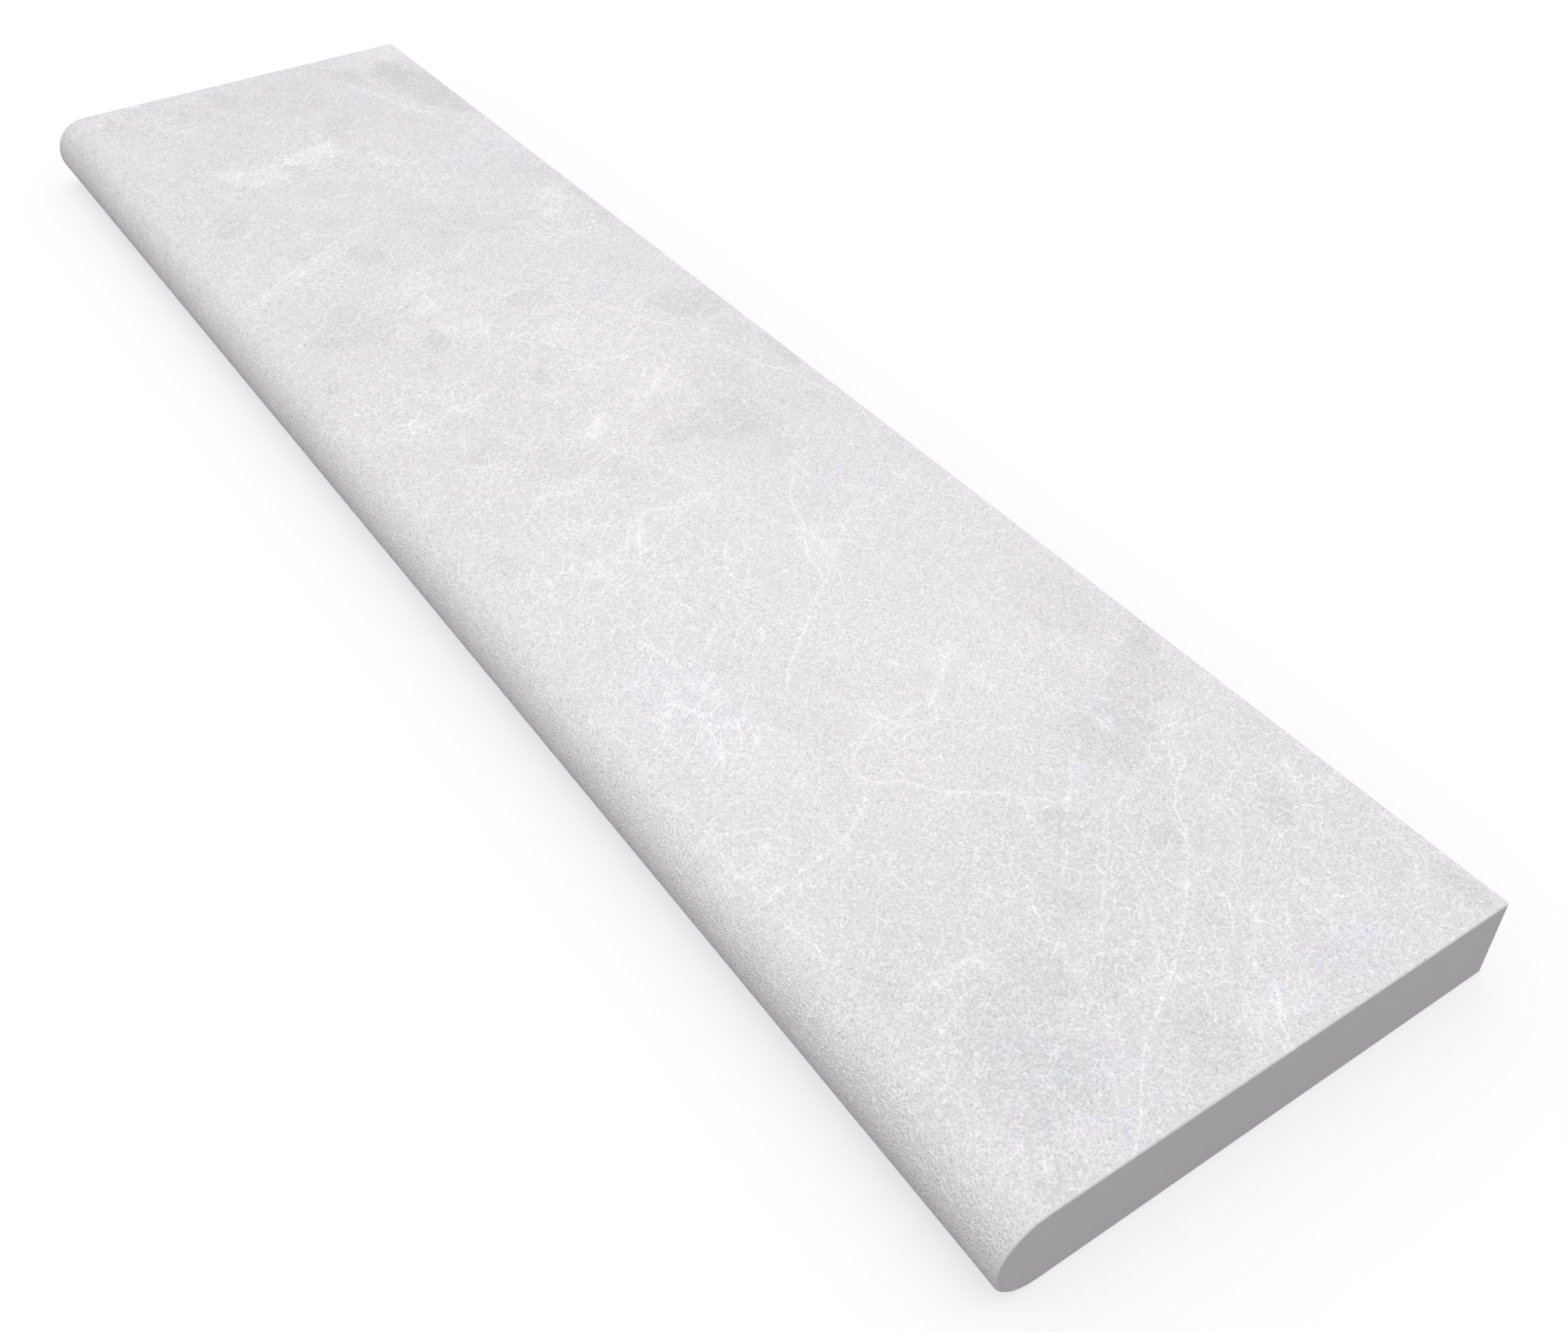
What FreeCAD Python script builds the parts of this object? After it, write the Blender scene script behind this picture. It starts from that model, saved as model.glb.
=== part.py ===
# Marble pool coping: one slab, sawn from stock, with a full bullnose along its pool side.
# Millimetres. +X runs along the pool's edge, -Y points out over the water, and +Z is up.
# The origin is the middle of the slab's bounding box at its base, on the mortar bed.
import FreeCAD, Part
import Sketcher
import enum
import math
import os

# The driving dimensions, of a 48 x 12 x 2 inch unit whose sawn arrises were eased by hand.
DRIVING = [
    ("length", "1219.2", "along the pool's edge"),
    ("width", "304.8", "tip of the nose to the back edge"),
    ("thickness", "50.8", "base to top face"),
    ("end_arris", "1.5", "radius eased round both sawn ends"),
    ("back_arris", "1.5", "radius eased along the top back edge"),
]

doc = FreeCAD.newDocument("PoolCoping")
sizes = doc.addObject("Spreadsheet::Sheet", "Sizes")
for row, (alias, value, note) in enumerate(DRIVING, start=1):
    sizes.set(f"A{row}", alias)
    sizes.set(f"B{row}", value)
    sizes.setAlias(f"B{row}", alias)
    sizes.set(f"C{row}", note)
doc.recompute()


class At(enum.IntEnum):
    """The sketcher's numbers for a curve's two ends, and for the axis that starts at its origin."""
    START = 1
    END = 2
    AXIS = -1


def origin_plane(body, role):
    """One of the body's own origin planes, found by its role."""
    return next(plane for plane in body.Origin.OriginFeatures if plane.Role == role)


def end_nearest(sketch, curve, height):
    """Which end of a curve in the sketch is nearest to a height."""
    return min((At.START, At.END), key=lambda end: abs(sketch.getPoint(curve, end).y - height))


def draw_section(body):
    """Base, back and top are flat. The nose is a half round, tangent to the base and the top."""
    sketch = body.newObject("Sketcher::SketchObject", "Section")
    sketch.AttachmentSupport = [(origin_plane(body, "YZ_Plane"), "")]
    sketch.MapMode = "FlatFace"

    top = sizes.thickness
    back = sizes.width / 2
    nose_radius = sizes.thickness / 2
    nose_start = nose_radius - back
    base_front = FreeCAD.Vector(nose_start, 0, 0)
    base_back = FreeCAD.Vector(back, 0, 0)
    top_back = FreeCAD.Vector(back, top, 0)
    top_front = FreeCAD.Vector(nose_start, top, 0)
    nose_tip = FreeCAD.Vector(-back, nose_radius, 0)

    base = sketch.addGeometry(Part.LineSegment(base_front, base_back))
    rear = sketch.addGeometry(Part.LineSegment(base_back, top_back))
    face = sketch.addGeometry(Part.LineSegment(top_back, top_front))
    nose = sketch.addGeometry(Part.Arc(top_front, nose_tip, base_front))

    def constrain(*how):
        return sketch.addConstraint(Sketcher.Constraint(*how))

    constrain("Coincident", base, At.END, rear, At.START)
    constrain("Coincident", rear, At.END, face, At.START)
    constrain("Tangent", face, At.END, nose, end_nearest(sketch, nose, top))
    constrain("Tangent", base, At.START, nose, end_nearest(sketch, nose, 0))
    constrain("Horizontal", base)
    constrain("Vertical", rear)
    constrain("Horizontal", face)
    constrain("PointOnObject", rear, At.START, At.AXIS)
    rear_height = constrain("DistanceY", rear, At.START, rear, At.END, top)
    rear_place = constrain("DistanceX", At.AXIS, At.START, rear, At.START, back)
    base_run = constrain("DistanceX", base, At.START, base, At.END, back - nose_start)

    sketch.setExpression(f"Constraints[{rear_height}]", "Sizes.thickness")
    sketch.setExpression(f"Constraints[{rear_place}]", "Sizes.width / 2")
    sketch.setExpression(f"Constraints[{base_run}]", "Sizes.width - Sizes.thickness / 2")
    return sketch


def run_out(body, section):
    """The section run along the pool's edge, half of the length to each side of the origin."""
    slab = body.newObject("PartDesign::Pad", "SawnSlab")
    slab.Profile = section
    slab.SideType = "Symmetric"
    slab.setExpression("Length", "Sizes.length")
    doc.recompute()
    return slab


def lies_at(edge, axis, position, tolerance=1e-4):
    """True if the whole edge is in the plane at that position along the axis."""
    places = [getattr(vertex, axis) for vertex in edge.Vertexes]
    return all(math.isclose(place, position, abs_tol=tolerance) for place in places)


def round_an_end(edge):
    """Top, nose, base and upright back corner of either sawn end, so the easing rolls all round."""
    half = sizes.length / 2
    return lies_at(edge, "X", half) or lies_at(edge, "X", -half)


def along_the_top_back(edge):
    """The arris that the deck is laid against. The one below it, on the bed, stays as sawn."""
    return lies_at(edge, "Y", sizes.width / 2) and lies_at(edge, "Z", sizes.thickness)


def ease(body, before, name, wanted, size):
    """One pass of the rubbing block along the arrises that are wanted."""
    edges = [f"Edge{n}" for n, edge in enumerate(before.Shape.Edges, start=1) if wanted(edge)]
    eased = body.newObject("PartDesign::Fillet", name)
    eased.Base = (before, edges)
    eased.setExpression("Radius", f"Sizes.{size}")
    doc.recompute()
    return eased


def make_coping_stone():
    stone = doc.addObject("PartDesign::Body", "CopingStone")
    stone.Label = "coping_stone"
    slab = run_out(stone, draw_section(stone))
    back = ease(stone, slab, "EasedBack", along_the_top_back, "back_arris")
    ends = ease(stone, back, "EasedEnds", round_an_end, "end_arris")
    stone.Tip = ends
    doc.recompute()
    return stone


def check_and_write(parts):
    """Stops on a failed feature or a broken shape, and otherwise writes one file for each part."""
    for item in doc.Objects:
        faults = {"Invalid", "Error"} & set(item.State)
        if faults:
            raise RuntimeError(f"{item.Label} is {' and '.join(sorted(faults))}")
    for part in parts:
        if part.Shape.isNull() or not part.Shape.isValid():
            raise RuntimeError(f"{part.Label} has no valid shape")
    os.makedirs("parts", exist_ok=True)
    for part in parts:
        part.Shape.exportStep(f"parts/{part.Label}.step")
        print(f"{part.Label}: {len(part.Shape.Faces)} faces, {part.Shape.Volume / 1e6:.3f} litres")


check_and_write([make_coping_stone()])
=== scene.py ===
# Marble pool coping: the finish of one slab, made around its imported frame.
# Metres, in the frame's axes: +X runs along the pool's edge, -Y points out over the water, +Z is up.
import bmesh
import bpy
import math
import numpy
from mathutils import Euler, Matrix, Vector, noise


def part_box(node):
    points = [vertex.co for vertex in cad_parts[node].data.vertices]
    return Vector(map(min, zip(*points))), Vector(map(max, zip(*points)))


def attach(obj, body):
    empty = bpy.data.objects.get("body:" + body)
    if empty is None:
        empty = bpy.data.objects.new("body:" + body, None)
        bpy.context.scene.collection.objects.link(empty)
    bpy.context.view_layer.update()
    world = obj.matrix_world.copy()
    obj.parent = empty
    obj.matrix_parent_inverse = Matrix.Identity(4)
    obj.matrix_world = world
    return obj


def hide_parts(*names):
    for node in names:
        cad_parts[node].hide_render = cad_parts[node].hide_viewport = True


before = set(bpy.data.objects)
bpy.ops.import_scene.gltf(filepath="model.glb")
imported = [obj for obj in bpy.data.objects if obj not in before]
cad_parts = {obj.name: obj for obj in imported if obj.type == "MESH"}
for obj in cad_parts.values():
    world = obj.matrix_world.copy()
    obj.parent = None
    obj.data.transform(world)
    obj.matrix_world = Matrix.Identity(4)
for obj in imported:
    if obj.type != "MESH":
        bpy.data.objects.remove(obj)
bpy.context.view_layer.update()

# The coping is one slab of white marble, sawn from the block, its pool side ground to a full half
# round. Top and nose are sandblasted for grip. The ends, back and base stay as sawn, and the
# arrises round both ends and along the top back edge are eased by hand with a rubbing block.
NODE = "coping_stone"
ARRIS = 0.0015  # radius of the eased arrises
ARRIS_STEPS = 5
NOSE_STEPS = 40  # facets round the nose, about 2 mm each
TOP_STEPS = 112  # strips across the top, about 2.5 mm each
BACK_STEPS = 6
BASE_STEPS = 4
LENGTH_CUTS = 520  # rings along the slab, about 2.3 mm apart
CAP_RIM = 0.0004  # a narrow rim keeps the shading of the sawn end flat up to its arris
RELIEF_SIZE = 0.009  # the hollows that the grit leaves lie about this far apart
RELIEF_DEPTH = 0.0002
CREASE = math.radians(40)  # only the sawn edge between the back and the base is this sharp
TINY = 1e-5
WELD = 1e-6

low, high = (Vector(corner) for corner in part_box(NODE))
nose_radius = (high.z - low.z) / 2
nose_axis = Vector((low.x, low.y + nose_radius, low.z + nose_radius))

stone = bmesh.new()


def draw(start, run, steps=1):
    """A straight line of the section, from a vertex, and the vertex that it ends at."""
    line = bmesh.ops.spin(stone, geom=[start], dvec=run / steps, axis=(1, 0, 0), angle=0, steps=steps)
    return next(item for item in line["geom_last"] if isinstance(item, bmesh.types.BMVert))


foot = stone.verts.new((low.x, nose_axis.y, low.z))
half_round = bmesh.ops.spin(
    stone, geom=[foot], cent=nose_axis, axis=(1, 0, 0), angle=-math.pi, steps=NOSE_STEPS)
brow = next(item for item in half_round["geom_last"] if isinstance(item, bmesh.types.BMVert))
upper_back = draw(brow, Vector((0, high.y - nose_axis.y, 0)), TOP_STEPS)
lower_back = draw(upper_back, Vector((0, 0, low.z - high.z)), BACK_STEPS)
draw(lower_back, Vector((0, nose_axis.y - high.y, 0)), BASE_STEPS)
bmesh.ops.remove_doubles(stone, verts=stone.verts[:], dist=WELD)
section = bmesh.ops.contextual_create(stone, geom=stone.edges[:])["faces"]
length = Vector((high.x - low.x, 0, 0))
swept = bmesh.ops.extrude_face_region(stone, geom=section, use_keep_orig=True)["geom"]
bmesh.ops.translate(stone, vec=length, verts=[v for v in swept if isinstance(v, bmesh.types.BMVert)])
bmesh.ops.recalc_face_normals(stone, faces=stone.faces[:])


def lies_at(edge, axis, position):
    return all(abs(vertex.co[axis] - position) < TINY for vertex in edge.verts)


X, Y, Z = range(3)


def is_eased(edge):
    """True round both ends and along the top back edge."""
    top_back = lies_at(edge, Y, high.y) and lies_at(edge, Z, high.z)
    return lies_at(edge, X, low.x) or lies_at(edge, X, high.x) or top_back


eased = [edge for edge in stone.edges if is_eased(edge)]
bmesh.ops.bevel(stone, geom=eased, offset=ARRIS, offset_type="OFFSET", segments=ARRIS_STEPS,
                profile=0.5, affect="EDGES", material=-1)
lengthwise = [edge for edge in stone.edges if edge.calc_length() > length.x / 2]
bmesh.ops.subdivide_edges(stone, edges=lengthwise, cuts=LENGTH_CUTS, use_grid_fill=True)
caps = [face for face in stone.faces if len(face.verts) > 4]
bmesh.ops.inset_individual(stone, faces=caps, thickness=CAP_RIM)
stone.normal_update()

# The grit reaches all of the top and the nose, as far as the eased arrises, which are smooth.
blasted = stone.verts.layers.float.new("blasted")
sawn = stone.verts.layers.float.new("sawn")
last_x, last_y = high.x - ARRIS, high.y - ARRIS
for vertex in stone.verts:
    place = vertex.co
    inside = min(last_x - abs(place.x), last_y - place.y, place.z - low.z - ARRIS)
    vertex[blasted] = float(inside > -TINY)
    vertex[sawn] = float(max(abs(place.x) - high.x, place.y - high.y, low.z - place.z) > -TINY)
    if inside > TINY:
        hollow = 0.5 + 0.5 * noise.noise(place / RELIEF_SIZE)
        vertex.co = place - vertex.normal * RELIEF_DEPTH * hollow

mesh = bpy.data.meshes.new("coping_slab")
stone.to_mesh(mesh)
stone.free()
mesh.shade_smooth()
mesh.set_sharp_from_angle(angle=CREASE)
slab = bpy.data.objects.new("coping_slab", mesh)
bpy.context.scene.collection.objects.link(slab)

# The white veins of the marble, drawn on the top in millimetres from the slab's middle.
# Each has how strongly it shows, its width, and its way.
VEINS = [
    (1.0, 1.2, [(430, 112), (445, 98), (457, 95), (468, 78), (480, 66), (492, 61), (505, 50), (522, 33),
                (542, 8), (552, -6), (568, -35), (584, -55), (600, -70), (609, -82)]),
    (0.7, 1.2, [(462, 38), (478, 24), (490, 12), (503, -2), (516, -14), (532, -30), (548, -42), (562, -52)]),
    (0.5, 1.2, [(312, 112), (319, 90), (321, 70), (328, 50)]),
    (1.0, 2.6, [(328, 48), (335, 37), (342, 29), (350, 18)]),
    (0.9, 1.3, [(350, 18), (350, 0), (347, -12), (352, -26), (364, -45), (380, -46), (390, -55), (400, -68),
                (406, -85), (409, -105), (414, -126)]),
    (0.8, 1.4, [(414, -127), (432, -131), (450, -126), (460, -130), (472, -128), (484, -117), (493, -106),
                (496, -90), (493, -78), (499, -69), (506, -76), (509, -92), (518, -108)]),
    (1.0, 1.8, [(375, -47), (383, -42), (390, -30), (405, -20), (415, -6), (428, 8), (440, 20)]),
    (0.9, 1.8, [(418, 60), (428, 46), (438, 36), (446, 27)]),
    (0.9, 1.6, [(545, 57), (556, 42), (570, 28), (585, 27), (596, 16), (609, 9)]),
    (0.6, 1.2, [(443, -28), (455, -38), (466, -44)]),
    (0.8, 1.6, [(305, -47), (316, -36), (324, -22), (335, -18), (347, -13), (360, -5), (363, 12), (352, 18)]),
    (0.6, 1.6, [(330, -134), (347, -131), (366, -129), (385, -131), (400, -133), (414, -128)]),
    (0.9, 1.6, [(-10, 114), (0, 118), (20, 123), (36, 131), (50, 138), (66, 139), (80, 144), (97, 149)]),
    (0.9, 1.5, [(142, 76), (148, 70), (158, 60), (170, 54), (186, 50), (200, 42), (212, 34), (228, 32),
                (240, 27), (250, 14), (262, 0), (272, -11), (286, -27), (302, -42)]),
    (0.7, 1.8, [(176, 150), (180, 133), (190, 121), (196, 106), (195, 90), (192, 78), (203, 70), (214, 56),
                (226, 44), (238, 31)]),
    (0.7, 2.0, [(130, 80), (150, 80), (163, 87), (180, 99), (192, 100)]),
    (0.8, 2.0, [(-4, 76), (8, 58), (14, 47), (24, 35), (32, 20)]),
    (1.0, 3.6, [(23, 6), (32, -1), (40, -9)]),
    (0.9, 1.6, [(40, -9), (52, -8), (66, -4), (78, 4), (92, 9), (105, 13), (115, 22), (126, 20), (134, 8),
                (133, -5), (124, -20), (130, -28), (145, -37)]),
    (0.8, 1.6, [(145, -37), (150, -50), (152, -68), (146, -80)]),
    (0.8, 1.6, [(145, -37), (158, -44), (168, -50), (175, -60), (183, -75)]),
    (0.9, 2.0, [(-112, 70), (-96, 76), (-85, 83), (-70, 90), (-55, 98), (-42, 106)]),
    (1.0, 1.8, [(-302, 0), (-298, -18), (-292, -35), (-284, -50), (-270, -63)]),
    (0.8, 1.8, [(-232, 42), (-226, 34), (-218, 25)]),
    (0.8, 1.8, [(-210, -72), (-200, -84), (-186, -92), (-178, -98), (-172, -112), (-163, -121), (-150, -126),
                (-143, -136)]),
    (0.8, 2.2, [(-262, -85), (-250, -104), (-240, -116), (-234, -126), (-226, -134), (-218, -140)]),
    (0.9, 1.8, [(-545, 83), (-530, 90), (-507, 97), (-488, 102), (-474, 106), (-455, 116), (-440, 118)]),
    (0.9, 1.8, [(-402, 45), (-386, 44), (-374, 35), (-360, 32)]),
    (0.6, 1.8, [(-385, -3), (-378, 9), (-368, 22)]),
    (0.8, 2.0, [(232, -83), (248, -89), (265, -92), (276, -96), (286, -90), (300, -88)]),
    (1.0, 3.6, [(-168, -18), (-163, -25), (-157, -33)]),
    (1.0, 2.0, [(240, -44), (244, -50), (248, -56)]),
    (0.7, 1.0, [(486, 25), (497, 21), (509, 17), (522, 10), (532, 5), (541, -3), (548, -12), (551, -20)]),
    (0.7, 1.0, [(501, 55), (511, 50), (520, 48), (529, 48), (541, 44), (547, 37), (555, 30)]),
    (0.6, 1.0, [(451, 61), (458, 57), (462, 51), (468, 45), (476, 42)]),
    (0.6, 1.0, [(545, 9), (551, 19), (557, 27)]),
    (0.6, 1.0, [(478, 90), (488, 85), (499, 84), (509, 78), (518, 72), (524, 65)]),
    (0.5, 1.0, [(547, 57), (557, 63), (563, 69), (566, 80), (568, 90), (570, 100), (568, 107)]),
    (0.5, 1.0, [(395, 134), (403, 128), (416, 123), (422, 115), (430, 107)]),
    (0.6, 1.0, [(520, -100), (530, -101), (537, -106), (547, -114)]),
    (0.6, 1.0, [(592, -20), (588, -11), (576, -5), (566, 0), (557, 1)]),
    (0.5, 1.0, [(597, -33), (603, -25), (609, -21)]),
    (0.4, 1.0, [(366, 68), (382, 69), (397, 72), (404, 76)]),
    (0.9, 2.4, [(404, 76), (409, 79), (415, 79)]),
    (0.9, 1.8, [(431, 11), (436, 8), (442, 5)]),
    (0.4, 1.0, [(361, 48), (374, 36), (386, 21), (395, 15), (407, 7)]),
    (0.6, 1.0, [(305, -66), (318, -69), (328, -75)]),
    (0.4, 1.0, [(338, -114), (353, -113), (366, -115), (380, -116), (395, -119)]),
    (0.5, 1.0, [(382, -90), (394, -90), (405, -89)]),
    (0.5, 1.0, [(555, -41), (563, -47), (570, -52), (575, -62)]),
    (0.5, 1.0, [(601, -95), (608, -108)]),
    (0.6, 1.0, [(98, 148), (97, 140), (94, 121), (98, 114), (105, 108), (112, 95), (114, 80)]),
    (0.5, 1.0, [(112, 148), (129, 143), (142, 137), (153, 132)]),
    (0.7, 1.0, [(160, 127), (167, 121), (173, 114)]),
    (0.5, 1.0, [(114, 76), (119, 67), (123, 61), (133, 57), (144, 50)]),
    (0.5, 1.0, [(92, 38), (102, 39), (108, 46), (117, 48)]),
    (0.5, 1.0, [(92, 34), (102, 32), (112, 27), (119, 23)]),
    (0.6, 1.0, [(123, 40), (127, 32), (131, 23), (133, 15)]),
    (0.6, 1.0, [(72, -22), (76, -31), (81, -39), (82, -56), (80, -68), (77, -79)]),
    (0.6, 1.0, [(156, 36), (164, 23), (171, 10), (179, 3), (185, -4), (196, -10), (204, -12)]),
    (0.6, 1.0, [(252, -99), (253, -110), (252, -120)]),
    (0.7, 1.2, [(148, -100), (154, -102), (160, -108), (165, -116)]),
]

# Broad zones of the ground, as middle, half length, half width, turn in degrees, and how many steps
# of 256 they are lighter or darker.
ZONES = [
    (-545, 10, 90, 180, 0, -2.5), (-330, 0, 120, 180, 0, -0.5), (-60, 10, 140, 120, 0, 2.0),
    (240, -20, 180, 150, 0, 3.5), (535, 0, 90, 180, 0, -2.5), (-588, 130, 28, 40, 0, 5.0),
    (300, 60, 60, 60, 0, 1.5),
]

# Grey lumps and pale patches within the zones, in the same terms.
LUMPS = [
    (-500, 138, 78, 20, 15, -8), (-556, 118, 30, 13, 62, -4), (-566, 88, 22, 10, 20, -5),
    (-548, 28, 38, 30, 0, -3), (-550, 10, 16, 12, 0, -2), (-575, -18, 25, 12, 10, -6),
    (-480, 45, 14, 11, 0, -5), (-478, -8, 14, 12, 0, 2), (-455, 42, 16, 9, 0, -3),
    (-572, -112, 15, 10, 0, -7),
    (-563, -60, 12, 10, 90, -4), (-595, -85, 16, 11, 60, -3), (-560, -90, 18, 10, -20, -4),
    (-510, -28, 12, 8, 0, -2), (-437, 5, 25, 12, 95, 10), (-424, -44, 26, 17, 60, 7),
    (-440, -65, 9, 8, 0, 4), (-418, -20, 10, 8, 0, -5), (-398, 47, 17, 7, 20, 5),
    (-350, 66, 18, 7, 35, 2), (-303, 125, 30, 12, 90, -3), (-276, 40, 30, 24, 10, -3),
    (-250, 90, 16, 8, 90, -4), (-242, 65, 12, 6, 90, -4), (-237, 20, 14, 9, 0, -3),
    (-205, 15, 9, 8, 0, -4), (-318, -28, 14, 8, 70, -3), (-262, -30, 19, 11, 25, -4),
    (-360, 15, 18, 14, 0, -2), (-368, -10, 14, 9, 0, -2), (-355, -95, 17, 9, -35, -4),
    (-385, -104, 18, 8, 90, -3), (-440, -110, 9, 8, 0, -3), (-290, -70, 12, 11, 0, -2),
    (-262, 130, 22, 11, -10, 6), (-240, 114, 12, 9, 80, 6), (-212, 92, 22, 10, 0, 3),
    (-268, -62, 62, 8, -62, 4), (-265, -76, 9, 8, 0, 4), (-200, -18, 24, 8, -38, 6),
    (-163, -25, 13, 6, 80, 5), (-172, -38, 8, 8, 0, -6), (-172, 10, 9, 7, 80, -6),
    (-120, -14, 22, 13, 70, 6), (-135, 38, 14, 12, 60, -6), (-116, -42, 16, 8, -25, -7),
    (-93, -58, 10, 7, 90, -4), (-165, -76, 33, 24, 0, -4), (-155, -102, 15, 9, 0, -3),
    (-107, -117, 8, 8, 0, -8), (-45, 70, 18, 12, 0, 4), (-75, 40, 26, 15, 0, 4),
    (-33, 40, 22, 18, 0, 3), (0, 52, 20, 9, -40, 4), (-65, 132, 24, 26, 0, -6),
    (-15, 137, 14, 13, 0, -4), (-140, 116, 14, 11, 0, -2), (-215, 141, 10, 9, 0, -5),
    (-250, 149, 24, 6, 0, -6), (-37, 0, 8, 7, 0, -7), (-17, -3, 8, 7, 0, 4),
    (-35, -62, 14, 8, 80, 4), (-34, -95, 10, 9, 0, 4), (-20, -72, 14, 9, 0, -3),
    (28, 92, 34, 24, 0, -4), (72, 74, 25, 27, 0, -7), (68, 36, 14, 12, 80, -5),
    (120, 85, 12, 9, 0, -5), (20, 147, 22, 7, 0, -6), (80, 126, 16, 12, 80, -2),
    (31, 1, 16, 7, -50, 8), (12, 55, 15, 6, -45, 4), (52, -42, 24, 18, 80, -5),
    (20, -72, 16, 13, 80, -5), (86, -10, 18, 13, 40, -4), (133, 0, 25, 11, 85, 3),
    (142, -38, 15, 8, -25, 4), (118, -32, 7, 6, 0, -4), (120, -62, 10, 8, 0, 3),
    (160, -72, 12, 9, 0, 5), (210, 43, 27, 9, -15, 4), (182, 95, 20, 10, 30, 2),
    (328, 42, 14, 7, -65, 4), (277, -76, 16, 7, 0, 5), (275, -101, 10, 6, 0, 5),
    (330, -80, 23, 22, 0, 3), (345, -10, 20, 14, -60, 3), (268, -56, 10, 7, 0, -3),
    (126, -116, 14, 7, 0, -6), (20, -116, 10, 9, 0, 3), (330, 122, 32, 20, 0, -4),
    (376, 140, 14, 8, -40, -5), (402, 114, 34, 14, -42, -6), (398, 84, 24, 18, 60, -2),
    (426, 76, 24, 22, 60, -6),
    (415, 80, 6, 5, 0, 4), (455, 20, 14, 11, 45, -6), (438, -6, 14, 12, 0, -2),
    (487, 50, 8, 8, 0, -7), (507, 105, 12, 11, 0, -6), (490, 120, 8, 7, 0, -3),
    (430, 113, 14, 7, -45, 4), (482, 88, 14, 6, -10, 3), (590, 26, 23, 10, 100, 6),
    (562, 50, 14, 9, 0, 2), (572, 82, 16, 12, 0, 2), (590, 144, 16, 6, 0, -5),
    (495, -20, 16, 9, 100, -4), (536, -25, 21, 9, -40, -5), (586, -15, 16, 13, 0, -4),
    (520, -52, 20, 14, 0, -5), (546, -86, 36, 26, 0, -5), (576, -80, 10, 8, 0, -3),
    (575, -106, 12, 8, 0, -3), (603, -112, 14, 9, 90, -5), (497, -86, 17, 7, 100, 4),
    (485, -117, 12, 7, 0, -5), (415, -20, 9, 8, 0, 2),
]

# Ground that is crazed by a net of fine white lines, as middle, half length, half width and turn.
CRAZED = [
    (175, -55, 95, 60, 40), (290, -88, 60, 30, 0), (520, 105, 110, 42, 0), (515, 10, 90, 62, 45),
    (-70, 45, 105, 70, 0), (-425, -20, 34, 62, 0), (-200, -20, 45, 28, -30), (-230, 115, 65, 28, 0),
    (65, -45, 60, 70, 0), (-570, -95, 45, 34, 30), (-355, 55, 50, 30, 20), (-48, -90, 42, 55, 0),
    (550, -95, 65, 45, 0), (405, -125, 48, 20, 0), (-250, -85, 30, 55, 20),
]

# Where the marble is a cooler, greener grey, and where lilac specks lie in it, in the same terms.
COOL = [
    (-35, -25, 95, 105, 0), (-490, 70, 65, 36, 0), (340, 125, 58, 28, 0), (358, -14, 40, 24, 0),
    (-600, 0, 18, 150, 0),
]
SPECKLED = [
    (-372, 112, 52, 40, 0), (-510, 80, 28, 13, 0), (167, 95, 24, 16, 0), (287, -88, 38, 24, 0),
    (130, 5, 9, 9, 0), (77, 8, 9, 9, 0), (-58, 121, 11, 11, 0), (-118, 91, 11, 11, 0),
    (336, -4, 10, 9, 0), (407, 80, 10, 9, 0), (430, 38, 9, 9, 0), (531, 62, 12, 12, 0),
    (572, -80, 40, 34, 0), (590, 60, 14, 34, 0),
]

MM = 1000.0
NEAR_A_VEIN = 4.0  # past this many of its widths, nothing of a vein shows
FAR_OFF = 1e6

points = numpy.empty(len(mesh.vertices) * 3)
mesh.vertices.foreach_get("co", points)
points = points.reshape(-1, 3) * MM
nose_y, nose_z = nose_axis.y * MM, nose_axis.z * MM
round_the_nose = numpy.arctan2(nose_y - points[:, Y], points[:, Z] - nose_z)
unrolled = numpy.where(points[:, Y] < nose_y, nose_y - round_the_nose * nose_radius * MM, points[:, Y])
flat = numpy.stack([points[:, X], unrolled], axis=1)
seen_from_above = points[:, Z] > nose_z - nose_radius * MM / 2  # all but the underside of the nose

# Neighbours in the list are on layers of their own, so that veins which meet don't blur each other.
VEIN_LAYERS = 3


def veins_of_layer(layer):
    """For each point the distance to the nearest vein, in its widths and with a sign for its side,
    and how strongly that vein shows there."""
    nearest = numpy.full(len(flat), FAR_OFF)
    signed = numpy.zeros(len(flat))
    strength = numpy.zeros(len(flat))
    for shows, width, route in VEINS[layer::VEIN_LAYERS]:
        for start, end in zip(route, route[1:]):
            run = numpy.subtract(end, start)
            reach = flat - start
            along = (reach @ run / (run @ run)).clip(0, 1)
            away = numpy.hypot(*(reach - along[:, None] * run).T) / width
            side = numpy.sign(run[X] * reach[:, Y] - run[Y] * reach[:, X])
            nearer = away < nearest
            nearest[nearer] = away[nearer]
            signed[nearer] = (away * side)[nearer]
            strength[nearer] = shows
    return signed, strength * (nearest < NEAR_A_VEIN) * seen_from_above


# The ovals' edges are ragged by three sizes of noise, as its size and its reach in millimetres.
RAGGED = [(40, 9), (13, 7), (6, 4)]
RAGGED_SEED = 1
BIG = 12.0  # ovals that are narrower than this, half across, are less ragged
ZONE_EDGE = 0.9  # how soft an edge is, as a share of the oval
LUMP_EDGE = 0.35


def strayed_by(spot):
    return sum((reach * noise.noise_vector(spot / size) for size, reach in RAGGED), Vector())


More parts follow.
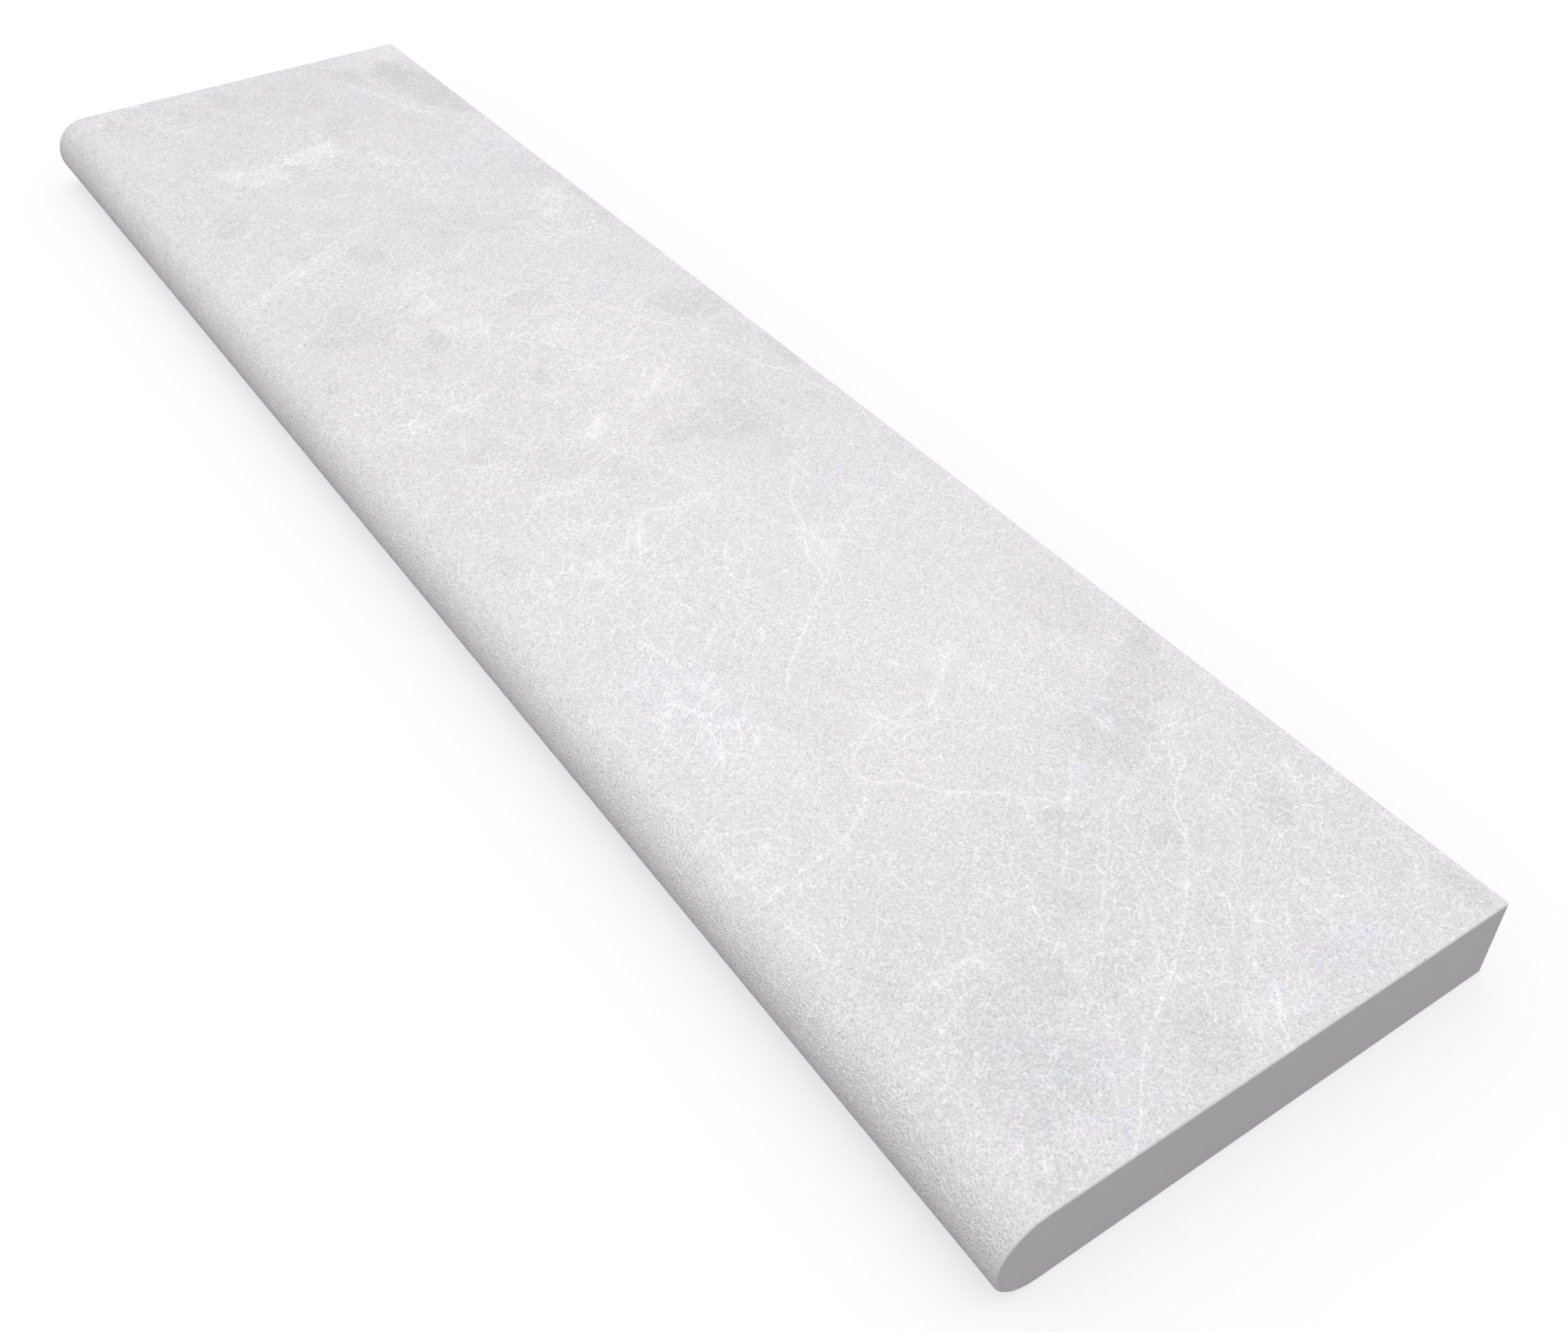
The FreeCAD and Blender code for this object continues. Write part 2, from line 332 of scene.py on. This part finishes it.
noise.seed_set(RAGGED_SEED)
ragged = numpy.array([strayed_by(Vector((*spot, 0))) for spot in flat])[:, :2]


def blot(x, y, half_length, half_width, turn, soft=ZONE_EDGE):
    """How far each point is inside a ragged oval, from 0 outside to 1 inside, over a soft edge."""
    c, s = math.cos(math.radians(turn)), math.sin(math.radians(turn))
    moved = flat + ragged * min(1, half_width / BIG) - (x, y)
    across = moved @ numpy.array([[c / half_length, -s / half_width], [s / half_length, c / half_width]])
    inside = ((1 + soft / 2 - numpy.hypot(across[:, X], across[:, Y])) / soft).clip(0, 1)
    return inside * inside * (3 - 2 * inside)


def covered(ovals):
    return 1 - numpy.prod([1 - blot(*oval) for oval in ovals], axis=0)


shade = sum(steps * blot(*oval) for *oval, steps in ZONES)
shade = shade + sum(steps * blot(*oval, soft=LUMP_EDGE) for *oval, steps in LUMPS)


def attribute(name, values):
    mesh.attributes.new(name, "FLOAT", "POINT").data.foreach_set("value", values.astype(numpy.float32))


for layer in range(VEIN_LAYERS):
    from_vein, vein = veins_of_layer(layer)
    attribute(f"from_vein_{layer}", from_vein)
    attribute(f"vein_{layer}", vein)
attribute("shade", shade * seen_from_above)
attribute("crazed", covered(CRAZED) * seen_from_above)
attribute("cool", covered(COOL) * seen_from_above)
attribute("speckled", covered(SPECKLED) * seen_from_above)


def linear(hex_colour):
    """An sRGB hex colour as the linear values that a shader takes."""
    shares = [int(hex_colour[i:i + 2], 16) / 255 for i in (0, 2, 4)]
    return [s / 12.92 if s <= 0.04045 else ((s + 0.055) / 1.055) ** 2.4 for s in shares] + [1.0]


def put(tree, kind, inputs, output=0, **settings):
    """Adds one node with its settings, gives each input a value or a link, and returns an output."""
    node = tree.nodes.new(kind)
    for name, value in settings.items():
        setattr(node, name, value)
    for name, value in inputs.items():
        if isinstance(value, bpy.types.NodeSocket):
            tree.links.new(value, node.inputs[name])
        else:
            node.inputs[name].default_value = value
    return node.outputs[output] if node.outputs else None


# White marble: calcite grains with grey lumps in paler ground, crazed by fine white veins, and no
# gloss. Where it is sandblasted it has small pits, bumped into its surface, with painted shade in
# the pits and painted light on their rims, and where it is sawn it is a flat, even grey.
BLASTED = linear("E7E5E8")
COOLER = linear("E5E6E8")
LILAC = linear("E3E3EC")
SAWN = linear("D7D5D8")

# Sizes in the pattern, in millimetres.
DRIFT = 45.0  # across the slow drift that bends the pattern
WOBBLE = 7.0  # across the small wobble in it
GROUND_STRAYS = (3.5, 40.0)  # how far the wobble and the drift move the ground
NETS_STRAY = (1.8, 20.0)
CLOUD = 60.0
PATCH = 16.0  # across a patch where the nets are stronger or weaker
GAP = 11.0  # across a gap where a vein is weaker
BLOTCH = 10.0
TINT = 9.0
MOTTLE = 3.4
FLECK = 1.7
GRIT = 1.1  # between the pits, which are finer in the stone than would show here
GRIT_DEPTH = 0.5

# How much of the marble's tone each part of the pattern adds or takes.
BASE_TONE = 1.016  # makes up for what the flecks and the painted shade in the pits take
STEP_TONE = 0.0096  # one step of 256
CLOUD_TONE = 0.04
VEIN_TONE = 0.125
# painted shade in the pits of the sandblasted surface, and painted light on their rims
GRIT_PAINTED_SHADE = 0.33
SAWN_SHARE = 0.25  # how much of the pattern the sawn faces show

# The ground is coarser towards the far end, so these have a tone at either end of that change.
NEAR_X, MIDDLE_X, FAR_X = 500.0, 100.0, -400.0
MOTTLE_NEAR, MOTTLE_FAR = 0.11, 0.34
BLOTCH_MIDDLE, BLOTCH_FAR = 0.0, 0.11
FLECK_NEAR, FLECK_FAR = 0.17, 0.30

marble = bpy.data.materials.new("white_marble")
marble.use_nodes = True
tree = marble.node_tree
tree.nodes.clear()
coordinates = put(tree, "ShaderNodeTexCoord", {}, "Object")
place = put(tree, "ShaderNodeVectorMath", {0: coordinates, "Scale": MM}, operation="SCALE")
along = put(tree, "ShaderNodeSeparateXYZ", {0: place})
is_blasted = put(tree, "ShaderNodeAttribute", {}, "Fac", attribute_name="blasted")
is_sawn = put(tree, "ShaderNodeAttribute", {}, "Fac", attribute_name="sawn")
is_crazed = put(tree, "ShaderNodeAttribute", {}, "Fac", attribute_name="crazed")
is_cool = put(tree, "ShaderNodeAttribute", {}, "Fac", attribute_name="cool")
is_speckled = put(tree, "ShaderNodeAttribute", {}, "Fac", attribute_name="speckled")
shade = put(tree, "ShaderNodeAttribute", {}, "Fac", attribute_name="shade")

middle = (0.5, 0.5, 0.5)
wobble = put(tree, "ShaderNodeTexNoise", {"Vector": place, "Scale": 1 / WOBBLE, "Detail": 2}, "Color")
wobble = put(tree, "ShaderNodeVectorMath", {0: wobble, 1: middle}, operation="SUBTRACT")
drift = put(tree, "ShaderNodeTexNoise", {"Vector": place, "Scale": 1 / DRIFT, "Detail": 1}, "Color")
drift = put(tree, "ShaderNodeVectorMath", {0: drift, 1: middle}, operation="SUBTRACT")


def strayed_place(wobbles, drifts):
    """The place on the slab, moved by the wobble and then by the drift."""
    moved = place
    for strays, reach in ((wobble, wobbles), (drift, drifts)):
        moved = put(tree, "ShaderNodeVectorMath", {0: strays, 1: [reach] * 3, 2: moved},
                    operation="MULTIPLY_ADD")
    return moved


strayed = strayed_place(*GROUND_STRAYS)
bent = strayed_place(*NETS_STRAY)

lightness = put(tree, "ShaderNodeMath", {0: shade, 1: STEP_TONE, 2: BASE_TONE}, operation="MULTIPLY_ADD")
cloud = put(tree, "ShaderNodeTexNoise",
            {"Vector": strayed, "Scale": 1 / CLOUD, "Detail": 3, "Roughness": 0.6})
cloud = put(tree, "ShaderNodeMath", {0: cloud, 1: 0.5}, operation="SUBTRACT")
lightness = put(tree, "ShaderNodeMath", {0: cloud, 1: CLOUD_TONE, 2: lightness}, operation="MULTIPLY_ADD")

# The distance to the nearest vein, in its widths, wavers, so the straight runs of its way don't show.
# Each has a thin line and a faint halo. A map range's sockets 1 to 4 are what it takes and gives.
WAVER = 2.4
EDGE, CORE = 0.8, 0.1
HALO_REACH, HALO_SHARE = 3.0, 0.2

waver = put(tree, "ShaderNodeSeparateXYZ", {0: wobble})
unbroken = put(tree, "ShaderNodeTexNoise", {"Vector": place, "Scale": 1 / GAP, "Detail": 2})
unbroken = put(tree, "ShaderNodeMapRange", {0: unbroken, 1: 0.4, 2: 0.55, 3: 0.5, 4: 1.0})
for layer in range(VEIN_LAYERS):
    away = put(tree, "ShaderNodeAttribute", {}, "Fac", attribute_name=f"from_vein_{layer}")
    away = put(tree, "ShaderNodeMath", {0: waver, 1: WAVER, 2: away}, operation="MULTIPLY_ADD")
    away = put(tree, "ShaderNodeMath", {0: away}, operation="ABSOLUTE")
    line = put(tree, "ShaderNodeMapRange", {0: away, 1: EDGE, 2: CORE, 3: 0.0, 4: 1.0},
               interpolation_type="SMOOTHSTEP")
    halo = put(tree, "ShaderNodeMapRange", {0: away, 1: HALO_REACH, 2: 0.0, 3: 0.0, 4: HALO_SHARE})
    line = put(tree, "ShaderNodeMath", {0: line, 1: halo}, operation="ADD")
    shows = put(tree, "ShaderNodeAttribute", {}, "Fac", attribute_name=f"vein_{layer}")
    shows = put(tree, "ShaderNodeMath", {0: shows, 1: unbroken}, operation="MULTIPLY")
    vein = put(tree, "ShaderNodeMath", {0: line, 1: shows}, operation="MULTIPLY")
    lightness = put(tree, "ShaderNodeMath", {0: vein, 1: VEIN_TONE, 2: lightness}, operation="MULTIPLY_ADD")

# Three nets of hairlines, one inside the other, run between lumps that differ a little, and all are
# drawn out along the veins. The wide net is everywhere. The other two lie where the ground is
# crazed, and more weakly on its paler clouds.
NETS = [
    # millimetres across a cell, half width of its lines, how bright they are, how the cells differ
    (26.0, 0.6, 0.130, 0.010),
    (12.0, 0.45, 0.135, 0.006),
    (6.0, 0.35, 0.095, 0.006),
]
WIDE_NET_SHARE = 0.7
VEINS_RUN = math.radians(50)  # turns the way that the veins run onto X
DRAWN_OUT = (0.5, 1.0, 1.0)

pale_cloud = put(tree, "ShaderNodeMapRange", {0: cloud, 1: -0.02, 2: 0.10, 3: 0.0, 4: 0.6})
dense = put(tree, "ShaderNodeMath", {0: is_crazed, 1: pale_cloud}, operation="MAXIMUM")
patch = put(tree, "ShaderNodeTexNoise", {"Vector": strayed, "Scale": 1 / PATCH, "Detail": 2})
patch = put(tree, "ShaderNodeMapRange", {0: patch, 1: 0.38, 2: 0.58, 3: 0.35, 4: 1.0})
drawn_out = put(tree, "ShaderNodeVectorRotate", {"Vector": bent, "Angle": VEINS_RUN}, rotation_type="Z_AXIS")
drawn_out = put(tree, "ShaderNodeVectorMath", {0: drawn_out, 1: DRAWN_OUT}, operation="MULTIPLY")
for (size, half_width, bright, differ), share in zip(NETS, (WIDE_NET_SHARE, dense, dense)):
    cells = {"Vector": drawn_out, "Scale": 1 / size}
    edge = put(tree, "ShaderNodeTexVoronoi", cells, feature="DISTANCE_TO_EDGE")
    net = put(tree, "ShaderNodeMapRange", {0: edge, 1: half_width / size, 2: 0.0, 3: 0.0, 4: bright},
              interpolation_type="SMOOTHSTEP")
    lump = put(tree, "ShaderNodeTexVoronoi", cells, "Color", feature="F1")
    lump = put(tree, "ShaderNodeSeparateXYZ", {0: lump})
    lump = put(tree, "ShaderNodeMath", {0: lump, 1: 0.5}, operation="SUBTRACT")
    net = put(tree, "ShaderNodeMath", {0: net, 1: patch}, operation="MULTIPLY")
    net = put(tree, "ShaderNodeMath", {0: lump, 1: differ, 2: net}, operation="MULTIPLY_ADD")
    lightness = put(tree, "ShaderNodeMath", {0: net, 1: share, 2: lightness}, operation="MULTIPLY_ADD")

# The grain of the ground is a fine mottle, which is rougher where it is crazed, with soft blotches
# towards the far end and dark flecks.
mottle = put(tree, "ShaderNodeTexNoise",
             {"Vector": place, "Scale": 1 / MOTTLE, "Detail": 2, "Roughness": 0.55})
mottle = put(tree, "ShaderNodeMath", {0: mottle, 1: 0.5}, operation="SUBTRACT")
mottled = put(tree, "ShaderNodeMapRange", {0: along, 1: NEAR_X, 2: FAR_X, 3: MOTTLE_NEAR, 4: MOTTLE_FAR})
rougher = put(tree, "ShaderNodeMapRange", {0: is_crazed, 1: 0.0, 2: 1.0, 3: 0.8, 4: 1.4})
mottled = put(tree, "ShaderNodeMath", {0: mottled, 1: rougher}, operation="MULTIPLY")
lightness = put(tree, "ShaderNodeMath", {0: mottle, 1: mottled, 2: lightness}, operation="MULTIPLY_ADD")
blotch = put(tree, "ShaderNodeTexNoise", {"Vector": strayed, "Scale": 1 / BLOTCH, "Detail": 1})
blotch = put(tree, "ShaderNodeMath", {0: blotch, 1: 0.5}, operation="SUBTRACT")
blotched = put(tree, "ShaderNodeMapRange", {0: along, 1: MIDDLE_X, 2: FAR_X, 3: BLOTCH_MIDDLE, 4: BLOTCH_FAR})
lightness = put(tree, "ShaderNodeMath", {0: blotch, 1: blotched, 2: lightness}, operation="MULTIPLY_ADD")
fleck = put(tree, "ShaderNodeTexNoise", {"Vector": place, "Scale": 1 / FLECK, "Detail": 1})
flecked = put(tree, "ShaderNodeMapRange", {0: along, 1: NEAR_X, 2: FAR_X, 3: FLECK_NEAR, 4: FLECK_FAR})
fleck = put(tree, "ShaderNodeMapRange", {0: fleck, 1: 0.58, 2: 0.72, 3: 0.0, 4: flecked})
lightness = put(tree, "ShaderNodeMath", {0: lightness, 1: fleck}, operation="SUBTRACT")

# The sawn faces show little of all that.
shown = put(tree, "ShaderNodeMapRange", {0: is_sawn, 1: 0.0, 2: 1.0, 3: 1.0, 4: SAWN_SHARE})
lightness = put(tree, "ShaderNodeMath", {0: lightness, 1: 1.0}, operation="SUBTRACT")
lightness = put(tree, "ShaderNodeMath", {0: lightness, 1: shown, 2: 1.0}, operation="MULTIPLY_ADD")

# The pits: their height bumps the surface, and the same height is painted into the colour as painted shade in
# the pits and painted light on their rims, on the blasted top and nose only.
grit_and_painted_shade = put(tree, "ShaderNodeTexVoronoi", {"Vector": place, "Scale": 1 / GRIT}, "Distance", feature="F1")
grit_and_painted_shade = put(tree, "ShaderNodeMath", {0: grit_and_painted_shade, 1: 0.5}, operation="SUBTRACT")
grit_and_painted_shade = put(tree, "ShaderNodeMath", {0: grit_and_painted_shade, 1: is_blasted}, operation="MULTIPLY")
lightness = put(tree, "ShaderNodeMath", {0: grit_and_painted_shade, 1: GRIT_PAINTED_SHADE, 2: lightness}, operation="MULTIPLY_ADD")

tint = put(tree, "ShaderNodeTexNoise", {"Vector": strayed, "Scale": 1 / TINT, "Detail": 2}, "Color")
tint = put(tree, "ShaderNodeSeparateXYZ", {0: tint}).node.outputs
cool = put(tree, "ShaderNodeMapRange", {0: tint["X"], 1: 0.42, 2: 0.58, 3: 0.1, 4: 0.6})
cool = put(tree, "ShaderNodeMath", {0: cool, 1: is_cool}, operation="MULTIPLY")
lilac = put(tree, "ShaderNodeMapRange", {0: tint["Y"], 1: 0.54, 2: 0.66, 3: 0.0, 4: 0.8})
lilac = put(tree, "ShaderNodeMath", {0: lilac, 1: is_speckled}, operation="MULTIPLY")
colour = BLASTED
for share, other in ((cool, COOLER), (lilac, LILAC), (is_sawn, SAWN)):
    colour = put(tree, "ShaderNodeMix", {0: share, 6: colour, 7: other}, 2, data_type="RGBA")
colour = put(tree, "ShaderNodeVectorMath", {0: colour, "Scale": lightness}, operation="SCALE")

relief = put(tree, "ShaderNodeBump", {"Height": grit_and_painted_shade, "Distance": GRIT_DEPTH / MM, "Strength": 1.0})
surface = put(tree, "ShaderNodeBsdfPrincipled", {
    "Base Color": colour, "Roughness": 0.75, "IOR": 1.49, "Specular IOR Level": 0.35, "Normal": relief})
put(tree, "ShaderNodeOutputMaterial", {"Surface": surface})
mesh.materials.append(marble)

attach(slab, "root")
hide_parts(NODE)

# The floor is a plain pale sweep, which the slab lies flat on. It shows as white, with the slab's
# soft shadow, while the light that it throws back up is that of a mid grey studio floor.
FLOOR_SIZE = 12.0
FLOOR = linear("767676")
FLOOR_SEEN = linear("FFFFFF")
FLOOR_GLOW = 0.6  # how much of its white is there whatever light falls on it
FLOOR_DROP = 0.0002  # keeps it clear of the slab's base

sweep = bmesh.new()
bmesh.ops.create_grid(sweep, x_segments=1, y_segments=1, size=FLOOR_SIZE / 2)
bmesh.ops.translate(sweep, vec=(0, 0, low.z - FLOOR_DROP), verts=sweep.verts[:])
floor_mesh = bpy.data.meshes.new("floor")
sweep.to_mesh(floor_mesh)
sweep.free()
floor = bpy.data.objects.new("floor", floor_mesh)
bpy.context.scene.collection.objects.link(floor)

paint = bpy.data.materials.new("studio_floor")
paint.use_nodes = True
tree = paint.node_tree
tree.nodes.clear()
ray = tree.nodes.new("ShaderNodeLightPath").outputs
seen = put(tree, "ShaderNodeMath", {0: ray["Is Camera Ray"], 1: ray["Is Glossy Ray"]}, operation="MAXIMUM")
seen = put(tree, "ShaderNodeMath", {0: seen, 1: ray["Is Transmission Ray"]}, operation="MAXIMUM")
lit = put(tree, "ShaderNodeBsdfDiffuse", {"Color": FLOOR})
pale = put(tree, "ShaderNodeBsdfDiffuse", {"Color": FLOOR_SEEN})
white = put(tree, "ShaderNodeEmission", {"Color": FLOOR_SEEN, "Strength": 1.0})
shown = put(tree, "ShaderNodeMixShader", {0: FLOOR_GLOW, 1: pale, 2: white})
surface = put(tree, "ShaderNodeMixShader", {0: seen, 1: lit, 2: shown})
put(tree, "ShaderNodeOutputMaterial", {"Surface": surface})
floor_mesh.materials.append(paint)

# The light is that of a big overhead diffuser, hung a little to the pool side: a dome that is
# brightest there and falls off towards the horizon, at a level where the slab shows its own colour.
OVERHEAD = 1.35
HORIZON = 0.36
TILT = math.radians(5)

world = bpy.data.worlds.new("diffuser")
world.use_nodes = True
bpy.context.scene.world = world
tree = world.node_tree
tree.nodes.clear()
ray = tree.nodes.new("ShaderNodeLightPath").outputs
seen = put(tree, "ShaderNodeMath", {0: ray["Is Camera Ray"], 1: ray["Is Glossy Ray"]}, operation="MAXIMUM")
seen = put(tree, "ShaderNodeMath", {0: seen, 1: ray["Is Transmission Ray"]}, operation="MAXIMUM")
direction = put(tree, "ShaderNodeTexCoord", {}, "Generated")
to_diffuser = (0, -math.sin(TILT), math.cos(TILT))
up = put(tree, "ShaderNodeVectorMath", {0: direction, 1: to_diffuser}, "Value", operation="DOT_PRODUCT")
strength = put(tree, "ShaderNodeMapRange", {0: up, 1: 0.0, 2: 1.0, 3: HORIZON, 4: OVERHEAD})
dome = put(tree, "ShaderNodeBackground", {"Color": linear("FFFFFF"), "Strength": strength})
white = put(tree, "ShaderNodeBackground", {"Color": linear("FFFFFF"), "Strength": 1.0})
background = put(tree, "ShaderNodeMixShader", {0: seen, 1: dome, 2: white})
put(tree, "ShaderNodeOutputWorld", {"Surface": background})

# The camera looks down along the slab from past its near end, on the pool side.
lens = bpy.data.cameras.new("camera")
lens.lens = 38.84
lens.sensor_width = 36.0
camera = bpy.data.objects.new("camera", lens)
camera.location = (0.8388, -0.4102, 0.6523)
camera.rotation_euler = Euler((math.radians(48.098), 0, math.radians(55.585)))
bpy.context.scene.collection.objects.link(camera)
bpy.context.scene.camera = camera
bpy.context.scene.view_settings.view_transform = "Standard"
